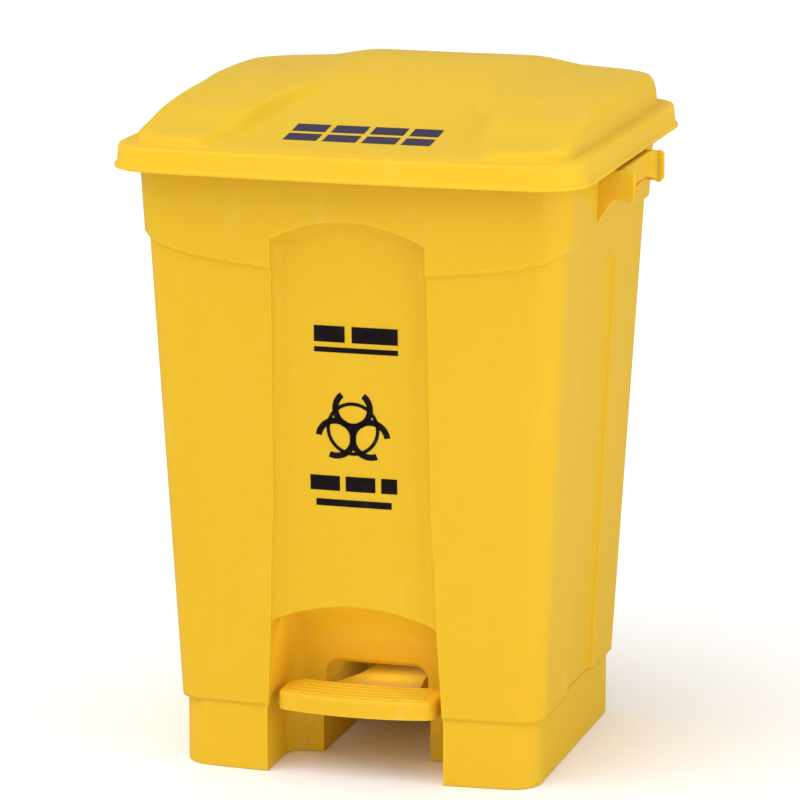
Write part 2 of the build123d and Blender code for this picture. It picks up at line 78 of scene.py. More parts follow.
WAY_IN_PANEL = 76.6                        # half width of the panel beside the lever's way in
WAY_OUT_HALF, WAY_OUT_SHARE = 40.0, 0.3    # way out at the back, and its share of the back's columns
SIDE_PANEL_Y, SIDE_PANEL_TOP, SIDE_PANEL_INSET = (-49.0, 44.0), (427.0, 433.0), 8.5
GRIP_Y = (-56.0, 55.0)
BUCKET_FLOOR = (96.0, 99.0)                # underside and top of the bucket's floor
TUNNEL_X, TUNNEL_Y = (48.0, 51.0), (-76.0, 134.0)
BOSS_X, BOSS_Y, BOSS_R = (-112.0, 112.0), (-92.0, 96.0), 6.0

# ---- hinge and crank, y and z ----
HINGE = (186.0, 524.0)
KNUCKLE_R, PIN_HOLE_R = 6.5, 3.05
EAR_X, KNUCKLE_X, CRANK_X = ((112, 117), (137, 142)), (118, 136), (86, 92)
CRANK_R, CRANK_DROP = 14.0, math.radians(33.8)   # length of the lid's crank, and its slope when shut
CRANK_EAR_R, CRANK_SLOT_R, CRANK_SLOT = 6.2, 3.2, 4.2
CRANK = (HINGE[0] - CRANK_R * math.cos(CRANK_DROP), HINGE[1] - CRANK_R * math.sin(CRANK_DROP))


def between(table, v):
    """Straight-line interpolation in a table of (v, value)."""
    if v <= table[0][0]:
        return table[0][1]
    for (v0, a), (v1, b) in zip(table, table[1:]):
        if v <= v1:
            return a + (b - a) * (v - v0) / (v1 - v0)
    return table[-1][1]


def ease(a, b, v):
    """0 at a, 1 at b, easing between."""
    t = min(1.0, max(0.0, (v - a) / (b - a)))
    return t * t * (3 - 2 * t)


def cove(distance, reach):
    """Quarter-round profile: steep at the edge, level once reach is passed."""
    t = min(1.0, max(0.0, distance / reach))
    return math.sqrt(1 - (1 - t) ** 2)


def spread(a, b, count, near_b=0.0):
    """count stations from a up to b, b left out, drawn towards b by near_b."""
    return [a + (b - a) * (1 - (1 - i / count) ** (1 + near_b)) for i in range(count)]


def stretches(stops):
    """Stations through stretches given as (start, count, near_b); the last start closes the run."""
    stations = []
    for (a, count, near_b), (b, _, _) in zip(stops, stops[1:]):
        stations += spread(a, b, count, near_b)
    return stations + [stops[-1][0]]


def tapered(pair, z):
    """A shell measure at height z."""
    t = (z - PLINTH_TOP) / (SHELL_TOP - PLINTH_TOP)
    return pair[0] + t * (pair[1] - pair[0])


# ---- making meshes ----

def new_piece(name, mesh, body, material, smooth=True):
    """An object at the origin with its finish, riding on a CAD body."""
    obj = bpy.data.objects.new(name, mesh)
    bpy.context.scene.collection.objects.link(obj)
    if smooth:
        mesh.shade_smooth()
    mesh.materials.clear()
    mesh.materials.append(material)
    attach(obj, body)
    return obj


def mesh_from(name, points, faces):
    """A mesh from points in millimetres."""
    mesh = bpy.data.meshes.new(name)
    mesh.from_pydata([(x * MM, y * MM, z * MM) for x, y, z in points], [], faces)
    mesh.validate()
    return mesh


def applied(obj):
    """Applies an object's modifiers to its mesh."""
    depsgraph = bpy.context.evaluated_depsgraph_get()
    mesh = bpy.data.meshes.new_from_object(obj.evaluated_get(depsgraph), depsgraph=depsgraph)
    obj.modifiers.clear()
    old = obj.data
    obj.data = mesh
    bpy.data.meshes.remove(old)
    return obj


def outward(mesh):
    """Merges doubles and turns every face outwards."""
    bm = bmesh.new()
    bm.from_mesh(mesh)
    bmesh.ops.remove_doubles(bm, verts=bm.verts, dist=1e-6)
    bmesh.ops.recalc_face_normals(bm, faces=bm.faces)
    bm.to_mesh(mesh)
    bm.free()
    return mesh


def slab(bm, outline, along, start, end):
    """Adds a closed prism to bm: outline in the two axes across along, in millimetres."""
    axis = "XYZ".index(along)
    rings = []
    for level in (start, end):
        ring = []
        for a, b in outline:
            p = [a, b]
            p.insert(axis, level)
            ring.append(bm.verts.new([v * MM for v in p]))
        rings.append(ring)
    bm.faces.new(rings[0])
    bm.faces.new(list(reversed(rings[1])))
    n = len(outline)
    for i in range(n):
        bm.faces.new((rings[0][i], rings[1][i], rings[1][(i + 1) % n], rings[0][(i + 1) % n]))


def circle(cy, cz, radius, count=40, start=0.0, turn=360.0):
    """Points round an arc in the Y-Z plane."""
    steps = count if turn >= 360 else count + 1
    return [(cy + radius * math.cos(math.radians(start + turn * i / count)),
             cz + radius * math.sin(math.radians(start + turn * i / count))) for i in range(steps)]


def loops_joined(bm, loops):
    """Adds a closed wall to bm that runs through point loops of one length, and back to the first."""
    rings = [[bm.verts.new([v * MM for v in p]) for p in loop] for loop in loops]
    count = len(rings[0])
    for one, two in zip(rings, rings[1:] + rings[:1]):
        for i in range(count):
            j = (i + 1) % count
            bm.faces.new((one[i], one[j], two[j], two[i]))


def washer(bm, cy, cz, outer, inner, x0, x1, count=40):
    """Adds a thick ring along X to bm."""
    sections = ((x0, inner), (x0, outer), (x1, outer), (x1, inner))
    loops_joined(bm, [[(x, y, z) for y, z in circle(cy, cz, r, count)] for x, r in sections])


def finish_bmesh(name, bm):
    """bm as a mesh with its faces turned outwards."""
    bmesh.ops.recalc_face_normals(bm, faces=bm.faces)
    mesh = bpy.data.meshes.new(name)
    bm.to_mesh(mesh)
    bm.free()
    return mesh


def rounded(obj, width, segments=3):
    """Rounds an object's edges and keeps its broad faces flat."""
    bevel = obj.modifiers.new("rounding", "BEVEL")
    bevel.width = width * MM
    bevel.segments = segments
    bevel.limit_method = "ANGLE"
    bevel.angle_limit = math.radians(35)
    bevel.harden_normals = True
    obj.data.shade_smooth()
    return applied(obj)


def walled(obj, thickness):
    """Gives a sheet its wall, inwards from its outer face."""
    wall = obj.modifiers.new("wall", "SOLIDIFY")
    wall.thickness = thickness
    wall.offset = -1
    applied(obj)


def built(name, fill, body, finish, rounding, segments=2):
    """A piece whose solids fill(bm) adds, with its edges rounded."""
    bm = bmesh.new()
    fill(bm)
    return rounded(new_piece(name, finish_bmesh(name, bm), body, finish), rounding, segments)


# ---- materials ----

def group_input(group, name, kind, default):
    """A named input of a shader group."""
    item = group.interface.new_socket(name=name, in_out="INPUT", socket_type=kind)
    item.default_value = default
    return item


def moulding_group():
    """Shader group: slight colour drift, roughness drift and a fine moulded skin, plus rubbed scuffs."""
    group = bpy.data.node_groups.new("moulded_skin", "ShaderNodeTree")
    group_input(group, "Colour", "NodeSocketColor", (0.9, 0.5, 0.04, 1))
    group_input(group, "Drift", "NodeSocketFloat", 0.06)
    group_input(group, "Roughness", "NodeSocketFloat", 0.38)
    group_input(group, "Scuffs", "NodeSocketFloat", 0.25)
    group_input(group, "Skin", "NodeSocketFloat", 0.12)
    group.interface.new_socket(name="Colour", in_out="OUTPUT", socket_type="NodeSocketColor")
    group.interface.new_socket(name="Roughness", in_out="OUTPUT", socket_type="NodeSocketFloat")
    group.interface.new_socket(name="Height", in_out="OUTPUT", socket_type="NodeSocketFloat")
    nodes, links = group.nodes, group.links
    given = nodes.new("NodeGroupInput")
    out = nodes.new("NodeGroupOutput")
    place = nodes.new("ShaderNodeTexCoord")

    def noise(scale, detail, stretch=None):
        tex = nodes.new("ShaderNodeTexNoise")
        tex.inputs["Scale"].default_value = scale
        tex.inputs["Detail"].default_value = detail
        source = place.outputs["Object"]
        if stretch:
            mapping = nodes.new("ShaderNodeMapping")
            mapping.inputs["Scale"].default_value = stretch
            links.new(source, mapping.inputs["Vector"])
            source = mapping.outputs["Vector"]
        links.new(source, tex.inputs["Vector"])
        return tex.outputs["Fac"]

    def math_node(kind, a, b):
        node = nodes.new("ShaderNodeMath")
        node.operation = kind
        for socket, value in zip(node.inputs, (a, b)):
            if isinstance(value, (int, float)):
                socket.default_value = value
            else:
                links.new(value, socket)
        return node.outputs[0]

    def remap(value, low, high):
        node = nodes.new("ShaderNodeMapRange")
        node.inputs["From Min"].default_value = low
        node.inputs["From Max"].default_value = high
        links.new(value, node.inputs["Value"])
        return node.outputs["Result"]

    cloud = noise(3.2, 3)
    flow = noise(7.0, 2, (1.0, 1.0, 0.25))
    uneven = math_node("SUBTRACT", math_node("ADD", cloud, flow), 1.0)
    tone = math_node("MULTIPLY", uneven, given.outputs["Drift"])
    shade = nodes.new("ShaderNodeHueSaturation")
    links.new(math_node("ADD", tone, 1.0), shade.inputs["Value"])
    links.new(given.outputs["Colour"], shade.inputs["Color"])

    rubbed = remap(noise(38.0, 6, (1.0, 1.0, 0.35)), 0.60, 0.78)
    hair = remap(noise(160.0, 2, (1.0, 0.06, 1.0)), 0.62, 0.72)
    worn = math_node("MAXIMUM", rubbed, math_node("MULTIPLY", hair, 0.5))
    scuff = math_node("MULTIPLY", worn, given.outputs["Scuffs"])
    pale = nodes.new("ShaderNodeMix")
    pale.data_type = "RGBA"
    pale.inputs["B"].default_value = (1.0, 0.74, 0.25, 1)
    links.new(math_node("MULTIPLY", scuff, 0.35), pale.inputs["Factor"])
    links.new(shade.outputs["Color"], pale.inputs["A"])
    links.new(pale.outputs["Result"], out.inputs["Colour"])

    patchy = math_node("MULTIPLY", math_node("SUBTRACT", cloud, 0.5), 0.12)
    rough = math_node("ADD", given.outputs["Roughness"], patchy)
    links.new(math_node("ADD", rough, math_node("MULTIPLY", scuff, 0.22)), out.inputs["Roughness"])

    grain = math_node("MULTIPLY", noise(900.0, 2), given.outputs["Skin"])
    wave = math_node("MULTIPLY", noise(16.0, 1), 0.6)
    worn_down = math_node("SUBTRACT", wave, math_node("MULTIPLY", scuff, 0.3))
    links.new(math_node("ADD", grain, worn_down), out.inputs["Height"])
    return group


def bare_material(name):
    """A material with its tree and its Principled shader."""
    material = bpy.data.materials.new(name)
    material.use_nodes = True
    return material, material.node_tree, material.node_tree.nodes["Principled BSDF"]


def skinned(name, group, values, strength, depth):
    """A material whose colour, roughness and relief come from the skin group, and its shader."""
    material, tree, shader = bare_material(name)
    skin = tree.nodes.new("ShaderNodeGroup")
    skin.node_tree = group
    for socket, value in values.items():
        skin.inputs[socket].default_value = value
    relief = tree.nodes.new("ShaderNodeBump")
    relief.inputs["Strength"].default_value = strength
    relief.inputs["Distance"].default_value = depth
    tree.links.new(skin.outputs["Colour"], shader.inputs["Base Color"])
    tree.links.new(skin.outputs["Roughness"], shader.inputs["Roughness"])
    tree.links.new(skin.outputs["Height"], relief.inputs["Height"])
    tree.links.new(relief.outputs["Normal"], shader.inputs["Normal"])
    return material, shader


def moulded(name, group, colour, drift=0.05, roughness=0.36, scuffs=0.25, skin=0.10):
    """Satin moulded polypropylene that lets a little light in."""
    values = {"Colour": (*colour, 1), "Drift": drift, "Roughness": roughness, "Scuffs": scuffs, "Skin": skin}
    material, shader = skinned(name, group, values, 0.12, 0.0004)
    shader.inputs["IOR"].default_value = 1.49
    shader.inputs["Specular IOR Level"].default_value = 0.14
    shader.inputs["Subsurface Weight"].default_value = 0.3
    shader.inputs["Subsurface Radius"].default_value = (1.0, 0.55, 0.12)
    shader.inputs["Subsurface Scale"].default_value = 0.012
    return material


def plated(name, group, colour, roughness):
    """Zinc-plated or spring steel."""
    values = {"Colour": (*colour, 1), "Drift": 0.15, "Roughness": roughness, "Scuffs": 0.1, "Skin": 0.2}
    material, shader = skinned(name, group, values, 0.1, 0.0002)
    shader.inputs["Metallic"].default_value = 1.0
    return material


FINISH = {}


def make_finishes(looks):
    """Builds every material once."""
    group = moulding_group()
    yellow, gloss = looks.shell_colour, looks.gloss
    FINISH["shell"] = moulded("shell_plastic", group, yellow, roughness=gloss)
    FINISH["lid"] = moulded("lid_plastic", group, looks.lid_colour, roughness=gloss - 0.02, scuffs=0.3)
    FINISH["pedal"] = moulded("pedal_plastic", group, yellow, roughness=gloss + 0.04, scuffs=0.5)
    FINISH["guide"] = moulded("guide_plastic", group, yellow, roughness=0.5, skin=0.3)
    FINISH["ink"] = moulded("printed_ink", group, looks.ink_colour, 0.2, 0.42, 0.05)
    FINISH["lid_ink"] = moulded("lid_ink", group, looks.lid_ink_colour, 0.2, 0.5, 0.05)
    FINISH["rubber"] = moulded("buffer_rubber", group, (0.03, 0.03, 0.03), 0.05, 0.75, 0.0, 0.5)
    FINISH["wire"] = plated("zinc_wire", group, (0.58, 0.59, 0.61), 0.28)
    FINISH["steel"] = plated("axle_steel", group, (0.52, 0.52, 0.54), 0.32)
    FINISH["spring"] = plated("spring_steel", group, (0.34, 0.34, 0.37), 0.36)


# ---- the shell ----

def panel_half(z):
    """Half width of the recessed front panel at height z."""
    return between(PANEL_HALF, z)


def collar_edge(x):
    """Height of the collar's lower edge on the front at x."""
    return between(COLLAR_EDGE, abs(x))


def front_reach(z):
    """x at which the bowed front turns into the corner, and the corner's first angle."""
    hx = tapered(HALF_X, z)
    angle = math.atan(2 * BOW / hx)
    return hx - CORNER * (1 - math.sin(angle)), angle


def front_x(across, z):
    """x of a front column, given as a multiple of the panel's half width, at height z."""
    half = panel_half(z)
    if abs(across) <= PANEL_LIP:
        return across * half
    t = (abs(across) - PANEL_LIP) / (2 - PANEL_LIP)
    start = PANEL_LIP * half
    return math.copysign(start + t * (front_reach(z)[0] - start), across)


def collar_at(kind, value):
    """Height of the collar's lower edge at a station."""
    if kind == "front":
        return collar_edge(max(67.0, abs(front_x(value, 455.0))))
    if kind == "front_corner":
        low = collar_edge(front_reach(455.0)[0])
        return low + (COLLAR_Z - low) * ease(0.0, 0.75, value[1])
    return COLLAR_Z


def row_heights(kind, value):
    """Heights of the shell's rows at a station: they follow the niche, the collar's edge and the arch."""
    across = abs(value) if kind == "front" else 3.0
    inside = min(1.0, across)
    niche = NICHE_SHOULDER + NICHE_RISE * (1 - inside ** 2)
    arch = PANEL_SHOULDER + PANEL_RISE * (1 - inside ** 2) + 12 * ease(1.0, 1.5, across)
    edge = collar_at(kind, value)
    sill = way_in_edge(kind, value)
    return stretches((
        (PLINTH_TOP, WAY_IN_ROWS, 0), (sill, 30, 0.9), (niche, 6, 0), (niche + 9, 24, 0), (418, 8, 0),
        (432, 3, 0), (edge - 4, 7, 0), (edge + 1.5, 14, 0.8), (arch, 4, 0), (arch + 4, 8, 0),
        (SHELL_TOP, 0, 0)))


def way_in_edge(kind, value):
    """Height of the row along the top of the lever's way in, with its rounded corners."""
    if kind != "front":
        return WAY_IN_TOP
    x = abs(front_x(value, 80.0))
    straight = WAY_IN_HALF - WAY_IN_CORNER
    if x <= straight:
        return WAY_IN_TOP
    if x <= WAY_IN_HALF + 0.5:
        drop = WAY_IN_CORNER - math.sqrt(max(0.0, WAY_IN_CORNER ** 2 - (x - straight) ** 2))
        return WAY_IN_TOP - drop
    return WAY_IN_TOP - WAY_IN_CORNER * (1 - ease(WAY_IN_HALF, WAY_IN_HALF + 12, x))


def front_columns():
    """Positions across the front as multiples of the panel's half width, left to right."""
    straight = (WAY_IN_HALF - WAY_IN_CORNER) / WAY_IN_PANEL
    half = stretches(((0.0, 9, 0), (straight, 9, 0.5), (WAY_IN_HALF / WAY_IN_PANEL, 8, 0), (0.80, 16, 0.8),
                      (1.0, 5, 0), (PANEL_LIP, 14, 0), (2.0, 0, 0)))
    return [-c for c in reversed(half[1:])] + half


def panel_depth(x, z, base):
    """How far the front panel's surface lies in from the collar's face at x, z."""
    half = panel_half(z)
    arch = PANEL_SHOULDER + PANEL_RISE * (1 - min(1.0, abs(x) / half) ** 2)
    room = min(half - abs(x), arch - z)
    if room <= 0:
        return base
    return base + (PANEL_INSET - base) * cove(room, 11.0)


def niche_share(x, z):
    """0 outside the foot niche, up to 1 on its back wall."""
    half = panel_half(z)
    arch = NICHE_SHOULDER + NICHE_RISE * (1 - min(1.0, abs(x) / half) ** 2)
    if z >= arch or abs(x) >= half:
        return 0.0
    side = 1 - 0.2 * (1 - cove(half - abs(x) - 1.0, 11.0))
    side = side * ease(0.0, 1.5, half - abs(x))
    return cove(arch - z, 40.0) * side


def shell_point(kind, value, z, edge):
    """Point of the shell's outer skin at one station and height."""
    hx, fy, by = tapered(HALF_X, z), tapered(FRONT_Y, z), tapered(BACK_Y, z)
    lower = COLLAR_STEP * ease(edge + 0.8, edge - 3.2, z)
    if kind == "front":
        x = front_x(value, z)
        y = fy + BOW * (x / hx) ** 2 + panel_depth(x, z, lower)
        return (x, y + (NICHE_BACK - y) * niche_share(x, z), z)
    reach, first = front_reach(z)
    front_centre = fy + BOW * (reach / hx) ** 2 + CORNER * math.cos(first)
    if kind == "back":
        x = value * WAY_OUT_HALF / WAY_OUT_SHARE
        if abs(value) > WAY_OUT_SHARE:
            beyond = (abs(value) - WAY_OUT_SHARE) / (1 - WAY_OUT_SHARE)
            x = math.copysign(WAY_OUT_HALF + beyond * (hx - CORNER - WAY_OUT_HALF), value)
        return (x, by - lower, z)
    sign, t = value
    if kind == "front_corner":
        angle = first + t * (math.pi / 2 - first)
        radius = CORNER - lower
        return (sign * (hx - CORNER + radius * math.sin(angle)), front_centre - radius * math.cos(angle), z)
    if kind == "back_corner":
        angle = t * math.pi / 2
        radius = CORNER - lower
        return (sign * (hx - CORNER + radius * math.cos(angle)), by - CORNER + radius * math.sin(angle), z)
    y0, y1 = SIDE_PANEL_Y
    y = t
    if t < -100:
        y = front_centre + (y0 - 3 - front_centre) * (t + 200) / 100
    elif t > 100:
        y = y1 + 3 + (by - CORNER - y1 - 3) * (t - 200) / 100
    arch = SIDE_PANEL_TOP[0] + (SIDE_PANEL_TOP[1] - SIDE_PANEL_TOP[0]) * (1 - ((y + 2.5) / 46.5) ** 2)
    room = min(y - y0, y1 - y, arch - z)
    inset = lower + (SIDE_PANEL_INSET - lower) * cove(room, 6.0) if room > 0 else lower
    return (sign * (hx - inset), y, z)


def shell_stations():
    """Every column of the shell's skin, in order round the bin from the left end of the front."""
    y0, y1 = SIDE_PANEL_Y
    # on a side, -200 to -100 runs from the corner to the panel, and 200 to 300 from there to the back
    side = spread(-200, -100.001, 6)[1:] + spread(y0 - 3, y0 + 8, 11) + spread(y0 + 8, y1 - 8, 12)
    side += spread(y1 - 8, y1 + 3, 11) + spread(200, 300, 7)
    corner = [t / 10 for t in range(11)]
    stations = [("front", c) for c in front_columns()]
    stations += [("front_corner", (1, t)) for t in corner[1:]]
    stations += [("side", (1, t)) for t in side]
    stations += [("back_corner", (1, t)) for t in corner]
    back = corner[:10]
    stations += [("back", t) for t in reversed(back)] + [("back", -t) for t in back[1:]]
    stations += [("back_corner", (-1, t)) for t in reversed(corner)]
    stations += [("side", (-1, t)) for t in reversed(side)]
    stations += [("front_corner", (-1, t)) for t in reversed(corner[1:])]
    return stations


def shell_mesh():
    """The shell's outer skin as one sheet, open where the lever goes in and out."""
    columns = []
    for kind, value in shell_stations():
        edge = collar_at(kind, value)
        columns.append([shell_point(kind, value, z, edge) for z in row_heights(kind, value)])
    rows = len(columns[0])
    points = [p for column in columns for p in column]
    faces = []
    for i in range(len(columns)):
        j = (i + 1) % len(columns)
        for r in range(rows - 1):
            quad = (i * rows + r, j * rows + r, j * rows + r + 1, i * rows + r + 1)
            x, y, z = [sum(points[k][a] for k in quad) / 4 for a in range(3)]
            way_in = abs(x) < WAY_IN_HALF and -100 < y < 0
            way_out = abs(x) < WAY_OUT_HALF and y > 100
            if r < WAY_IN_ROWS and (way_in or way_out):
                continue
            faces.append(quad)
    return mesh_from("bin_shell", points, faces)


def inner_works(bm):
    """Bucket floor, tunnel walls and screw bosses, added to bm."""
    low, high = BUCKET_FLOOR
    inset = 5.5                            # the floor ends inside the wall, behind the set-back skin
    hx, by = tapered(HALF_X, low + 1) - inset, tapered(BACK_Y, low + 1) - inset
    corner, panel = CORNER - inset, SIDE_PANEL_INSET - inset + 1.5
    y0, y1 = SIDE_PANEL_Y[0] - 3, SIDE_PANEL_Y[1] + 3
    quarter = [(math.cos(math.radians(9 * i)), math.sin(math.radians(9 * i))) for i in range(11)]
    front = -129.0
    right = [(80, TUNNEL_Y[0]), (80, front)]
    right += [(hx - corner + corner * s, front + corner - corner * c) for c, s in quarter]
    right += [(hx, y0), (hx - panel, y0), (hx - panel, y1), (hx, y1)]
    right += [(hx - corner + corner * c, by - corner + corner * s) for c, s in quarter]
    slab(bm, right + [(-x, y) for x, y in reversed(right)], "Z", low, high)
    (x0, x1), (y0, y1) = TUNNEL_X, TUNNEL_Y
    for sign in (1, -1):
        slab(bm, [(sign * x0, y0), (sign * x1, y0), (sign * x1, y1), (sign * x0, y1)], "Z", PLINTH_TOP, low)
    turn = [a * math.pi / 12 for a in range(24)]
    for x in BOSS_X:
        for y in BOSS_Y:
            boss = [(x + BOSS_R * math.cos(a), y + BOSS_R * math.sin(a)) for a in turn]
            slab(bm, boss, "Z", PLINTH_TOP, low)


def hinge_ears(bm):
    """Four ears for the hinge pins, added to bm."""
    y, z = HINGE
    web = [(158, 478), (y - KNUCKLE_R, 514), (y - 3, z - 6), (y - 3.1, z + 6), (158, 531)]
    for sign in (1, -1):
        for x0, x1 in EAR_X:
            slab(bm, web, "X", sign * x0, sign * x1)
            washer(bm, y, z, KNUCKLE_R, PIN_HOLE_R, sign * x0, sign * x1)


def grips(bm):
    """Both side grips: ledge, turned-down grip and end lugs with gussets."""
    y0, y1 = GRIP_Y
    section = ((184, 519), (184, 516), (204, 516), (204, 497), (208, 497), (208, 519))
    lug = ((181, 464), (197, 489), (201, 493), (216, 493), (218, 495), (218, 517), (216, 519), (184, 519))
    count, thick = 28, 4
    for sign in (1, -1):
        rings = []
        for i in range(count + 1):
            t = i / count
            y = y0 + thick / 2 + (y1 - y0 - thick) * t
            near = min(t, 1 - t) * (y1 - y0)
            out = 8 * (1 - cove(near, 14.0))
            low = 6.0 * (1 - cove(near, 18.0))
            ring = []
            for k, (x, z) in enumerate(section):
                if k >= 2:
                    x = x + out
                if k in (3, 4):
                    z = z - low + 3.0 * (1 - (2 * t - 1) ** 2)
                ring.append(bm.verts.new((sign * x * MM, y * MM, z * MM)))
            rings.append(ring)
        sides = len(section)
        for a, b in zip(rings, rings[1:]):
            for k in range(sides):
                bm.faces.new((a[k], a[(k + 1) % sides], b[(k + 1) % sides], b[k]))
        bm.faces.new(rings[0])
        bm.faces.new(list(reversed(rings[-1])))
        for y in (y0, y1 - thick):
            slab(bm, [(sign * x, z) for x, z in lug], "Y", y, y + thick)


# ---- the lid ----

# the crown along y: height of the side shoulders, height of the ramp, and the ramp's half width
SHOULDER = ((-186, 549), (-165, 551.5), (-145, 553), (-97, 563.5), (-27, 568.5), (46, 571), (107, 570.5),
            (150, 568.5), (183, 566))
RAMP = ((-186, 543.5), (-150, 546), (-118, 550), (-60, 559), (-10, 568.5), (35, 576), (100, 581.5),
        (140, 581), (183, 577))
RAMP_HALF = ((-186, 130), (-155, 112), (-110, 101), (-50, 90), (-10, 75), (35, 72), (120, 90), (183, 94))
# outlines: half width, half depth, corner and the front's bow
CROWN_FOOT, RIM, LIP = (188, 183, 34, 5), (201, 195.8, 38, 6), (205, 199.3, 42, 8)
RIM_TOP = 543.5
# profile from the crown's foot to the rim and from the rim to the lip: share of the way out, and height
LEDGE = ((0.14, 542.8), (0.5, 542.5), (0.8, 542.2), (0.92, 541.6), (0.98, 540.4))
SKIRT = ((0.04, 538.8), (0.22, 532.0), (0.40, 526.6), (0.60, 525.4), (0.92, 524.6), (1.0, 523.6),
         (0.97, 521.9))


def smooth_table(table, v, reach=14.0):
    """A table's value averaged a little either way, so that its corners are round."""
    return sum(between(table, v + d * reach) for d in (-1, -0.5, 0, 0.5, 1)) / 5


def crown_height(x, y):
    """Height of the lid's crown: two side shoulders and the ramp that climbs between them."""
    away = min(1.0, abs(x) / CROWN_FOOT[0])
    shoulder = smooth_table(SHOULDER, y) + 7.0 * (1 - away ** 2) * ease(-150, 40, y)
    ramp = smooth_table(RAMP, y)
    half = smooth_table(RAMP_HALF, y)
    soft = 7.0 + 19.0 * ease(-60, 90, y)
    return ramp + (shoulder - ramp) * ease(half - soft, half + soft, abs(x))


def rounded_outline(hx, hy, corner, bow, count):
    """Points evenly spaced round a rounded rectangle with a bowed front."""
    points = []
    straight_x, straight_y = 2 * (hx - corner), 2 * (hy - corner)
    arc = math.pi * corner / 2
    total = 2 * (straight_x + straight_y) + 4 * arc
    for i in range(count):
        s = total * i / count
        for side in range(4):
            length = straight_x if side % 2 == 0 else straight_y
            if s <= length:
                u = s - length / 2
                p = [(u, -hy), (hx, u), (-u, hy), (-hx, -u)][side]
                break
            s -= length
            if s <= arc:
                a = s / corner + side * math.pi / 2 - math.pi / 2
                cx = (hx - corner) * (1, 1, -1, -1)[side]
                cy = (hy - corner) * (-1, 1, 1, -1)[side]
                p = (cx + corner * math.cos(a), cy + corner * math.sin(a))
                break
            s -= arc
        x, y = p
        y = y + bow * (x / hx) ** 2 * max(0.0, 1 - (y + hy) / (4 * corner))
        points.append((x, y))
    return points


def lid_mesh(rings=60, around=360):
    """The lid's outer surface from its middle out to the lip."""
    foot, rim, lip = [rounded_outline(*outline, around) for outline in (CROWN_FOOT, RIM, LIP)]
    middle = 40
    points = [(0, middle, crown_height(0, middle))]
    for r in range(1, rings + 1):
        s = 1 - (1 - r / rings) ** 1.35
        for x, y in foot:
            px, py = x * s, middle * (1 - s) + y * s
            edge = (1 - s) * min(abs(x) + abs(y), 230)
            top = crown_height(px, py)
            drop = (top - RIM_TOP) * (1 - cove(edge, 10.0)) * 0.96
            points.append((px, py, top - drop))
    for inner, outer, steps in ((foot, rim, LEDGE), (rim, lip, SKIRT)):
        for t, z in steps:
            points += [(p[0] + (q[0] - p[0]) * t, p[1] + (q[1] - p[1]) * t, z) for p, q in zip(inner, outer)]
    faces = [(0, 1 + i, 1 + (i + 1) % around) for i in range(around)]
    for b in range(rings + len(LEDGE) + len(SKIRT) - 1):
        low, high = 1 + b * around, 1 + (b + 1) * around
        for i in range(around):
            j = (i + 1) % around
            faces.append((low + i, high + i, high + j, low + j))
    return mesh_from("lid_shell_skin", points, faces)


def lid_fittings(bm):
    """Hinge knuckles and slotted cranks inside the lid's back edge."""
    y, z = HINGE
    slope = math.degrees(math.atan2(CRANK[1] - z, CRANK[0] - y))
    reach = (CRANK_R - CRANK_SLOT) / CRANK_R
    near = (y + (CRANK[0] - y) * reach, z + (CRANK[1] - z) * reach)
    ear = circle(*CRANK, CRANK_EAR_R, 20, slope - 90, 180)
    ear += circle(y, z, CRANK_EAR_R, 20, slope + 90, 180)
    slot = circle(*CRANK, CRANK_SLOT_R, 20, slope - 90, 180)
    slot += circle(*near, CRANK_SLOT_R, 20, slope + 90, 180)
    inner, outer = CRANK_X
    for sign in (1, -1):
        x0, x1 = sign * KNUCKLE_X[0], sign * KNUCKLE_X[1]
        washer(bm, y, z, KNUCKLE_R, PIN_HOLE_R, x0, x1)
        slab(bm, [(y - 5, z + 4), (y + 5, z + 4), (y + 6, 540), (y - 5, 540)], "X", x0, x1)
        sections = ((inner, slot), (inner, ear), (outer, ear), (outer, slot))
        loops_joined(bm, [[(sign * x, p, q) for p, q in loop] for x, loop in sections])
        root = [(y - 5, z + 3), (y + 5, z + 3), (y + 6, 540), (y - 5, 540)]
        slab(bm, root, "X", sign * inner, sign * outer)


# ---- prints ----

# plain bars: x from and to, height of the middle and width of the bar, on the panel; x from and to on the lid
FRONT_BARS = ((-38, -12, 257, 13), (-7, 19, 257, 13), (24, 38, 257, 13), (-33, 33, 240, 6),
              (-33, -6, 386, 14), (0, 40, 386, 14), (-33, 40, 372.5, 4.5))
LID_BLOCKS = ((-62, -33), (-28, 1), (6, 35), (40, 65))


def panel_surface(x, z, lift=0.12):
    """Point just proud of the recessed panel."""
    hx = tapered(HALF_X, z)
    return (x, tapered(FRONT_Y, z) + BOW * (x / hx) ** 2 + PANEL_INSET - lift, z)


def lid_surface(x, y, lift=0.15):
    """Point just proud of the lid's crown."""
    return (x, y, crown_height(x, y) + lift)


def strip(points, faces, along, across, width, closed=False):
    """Adds a flat band that follows along, with across giving each point's sideways direction."""
    start = len(points)
    for (u, v), (du, dv) in zip(along, across):
        for side in (-0.5, 0.0, 0.5):
            points.append((u + du * width * side, v + dv * width * side))
    n = len(along)
    for i in range(n if closed else n - 1):
        a, b = start + 3 * i, start + 3 * ((i + 1) % n)
        faces.append((a, b, b + 1, a + 1))
        faces.append((a + 1, b + 1, b + 2, a + 2))


def ring_arc(points, faces, cx, cy, radius, width, start, turn, count=60):
    """Adds an arc band."""
    along, across = [], []
    for i in range(count + 1 if turn < 360 else count):
        a = math.radians(start + turn * i / count)
        along.append((cx + radius * math.cos(a), cy + radius * math.sin(a)))
        across.append((math.cos(a), math.sin(a)))
    strip(points, faces, along, across, width, closed=turn >= 360)


def bar(points, faces, x0, x1, y, height):
    """Adds a plain bar, in short lengths so that it follows a curved face."""
    count = max(2, int((x1 - x0) / 3))
    along = [(x0 + (x1 - x0) * i / count, y) for i in range(count + 1)]
    strip(points, faces, along, [(0, 1)] * (count + 1), height)


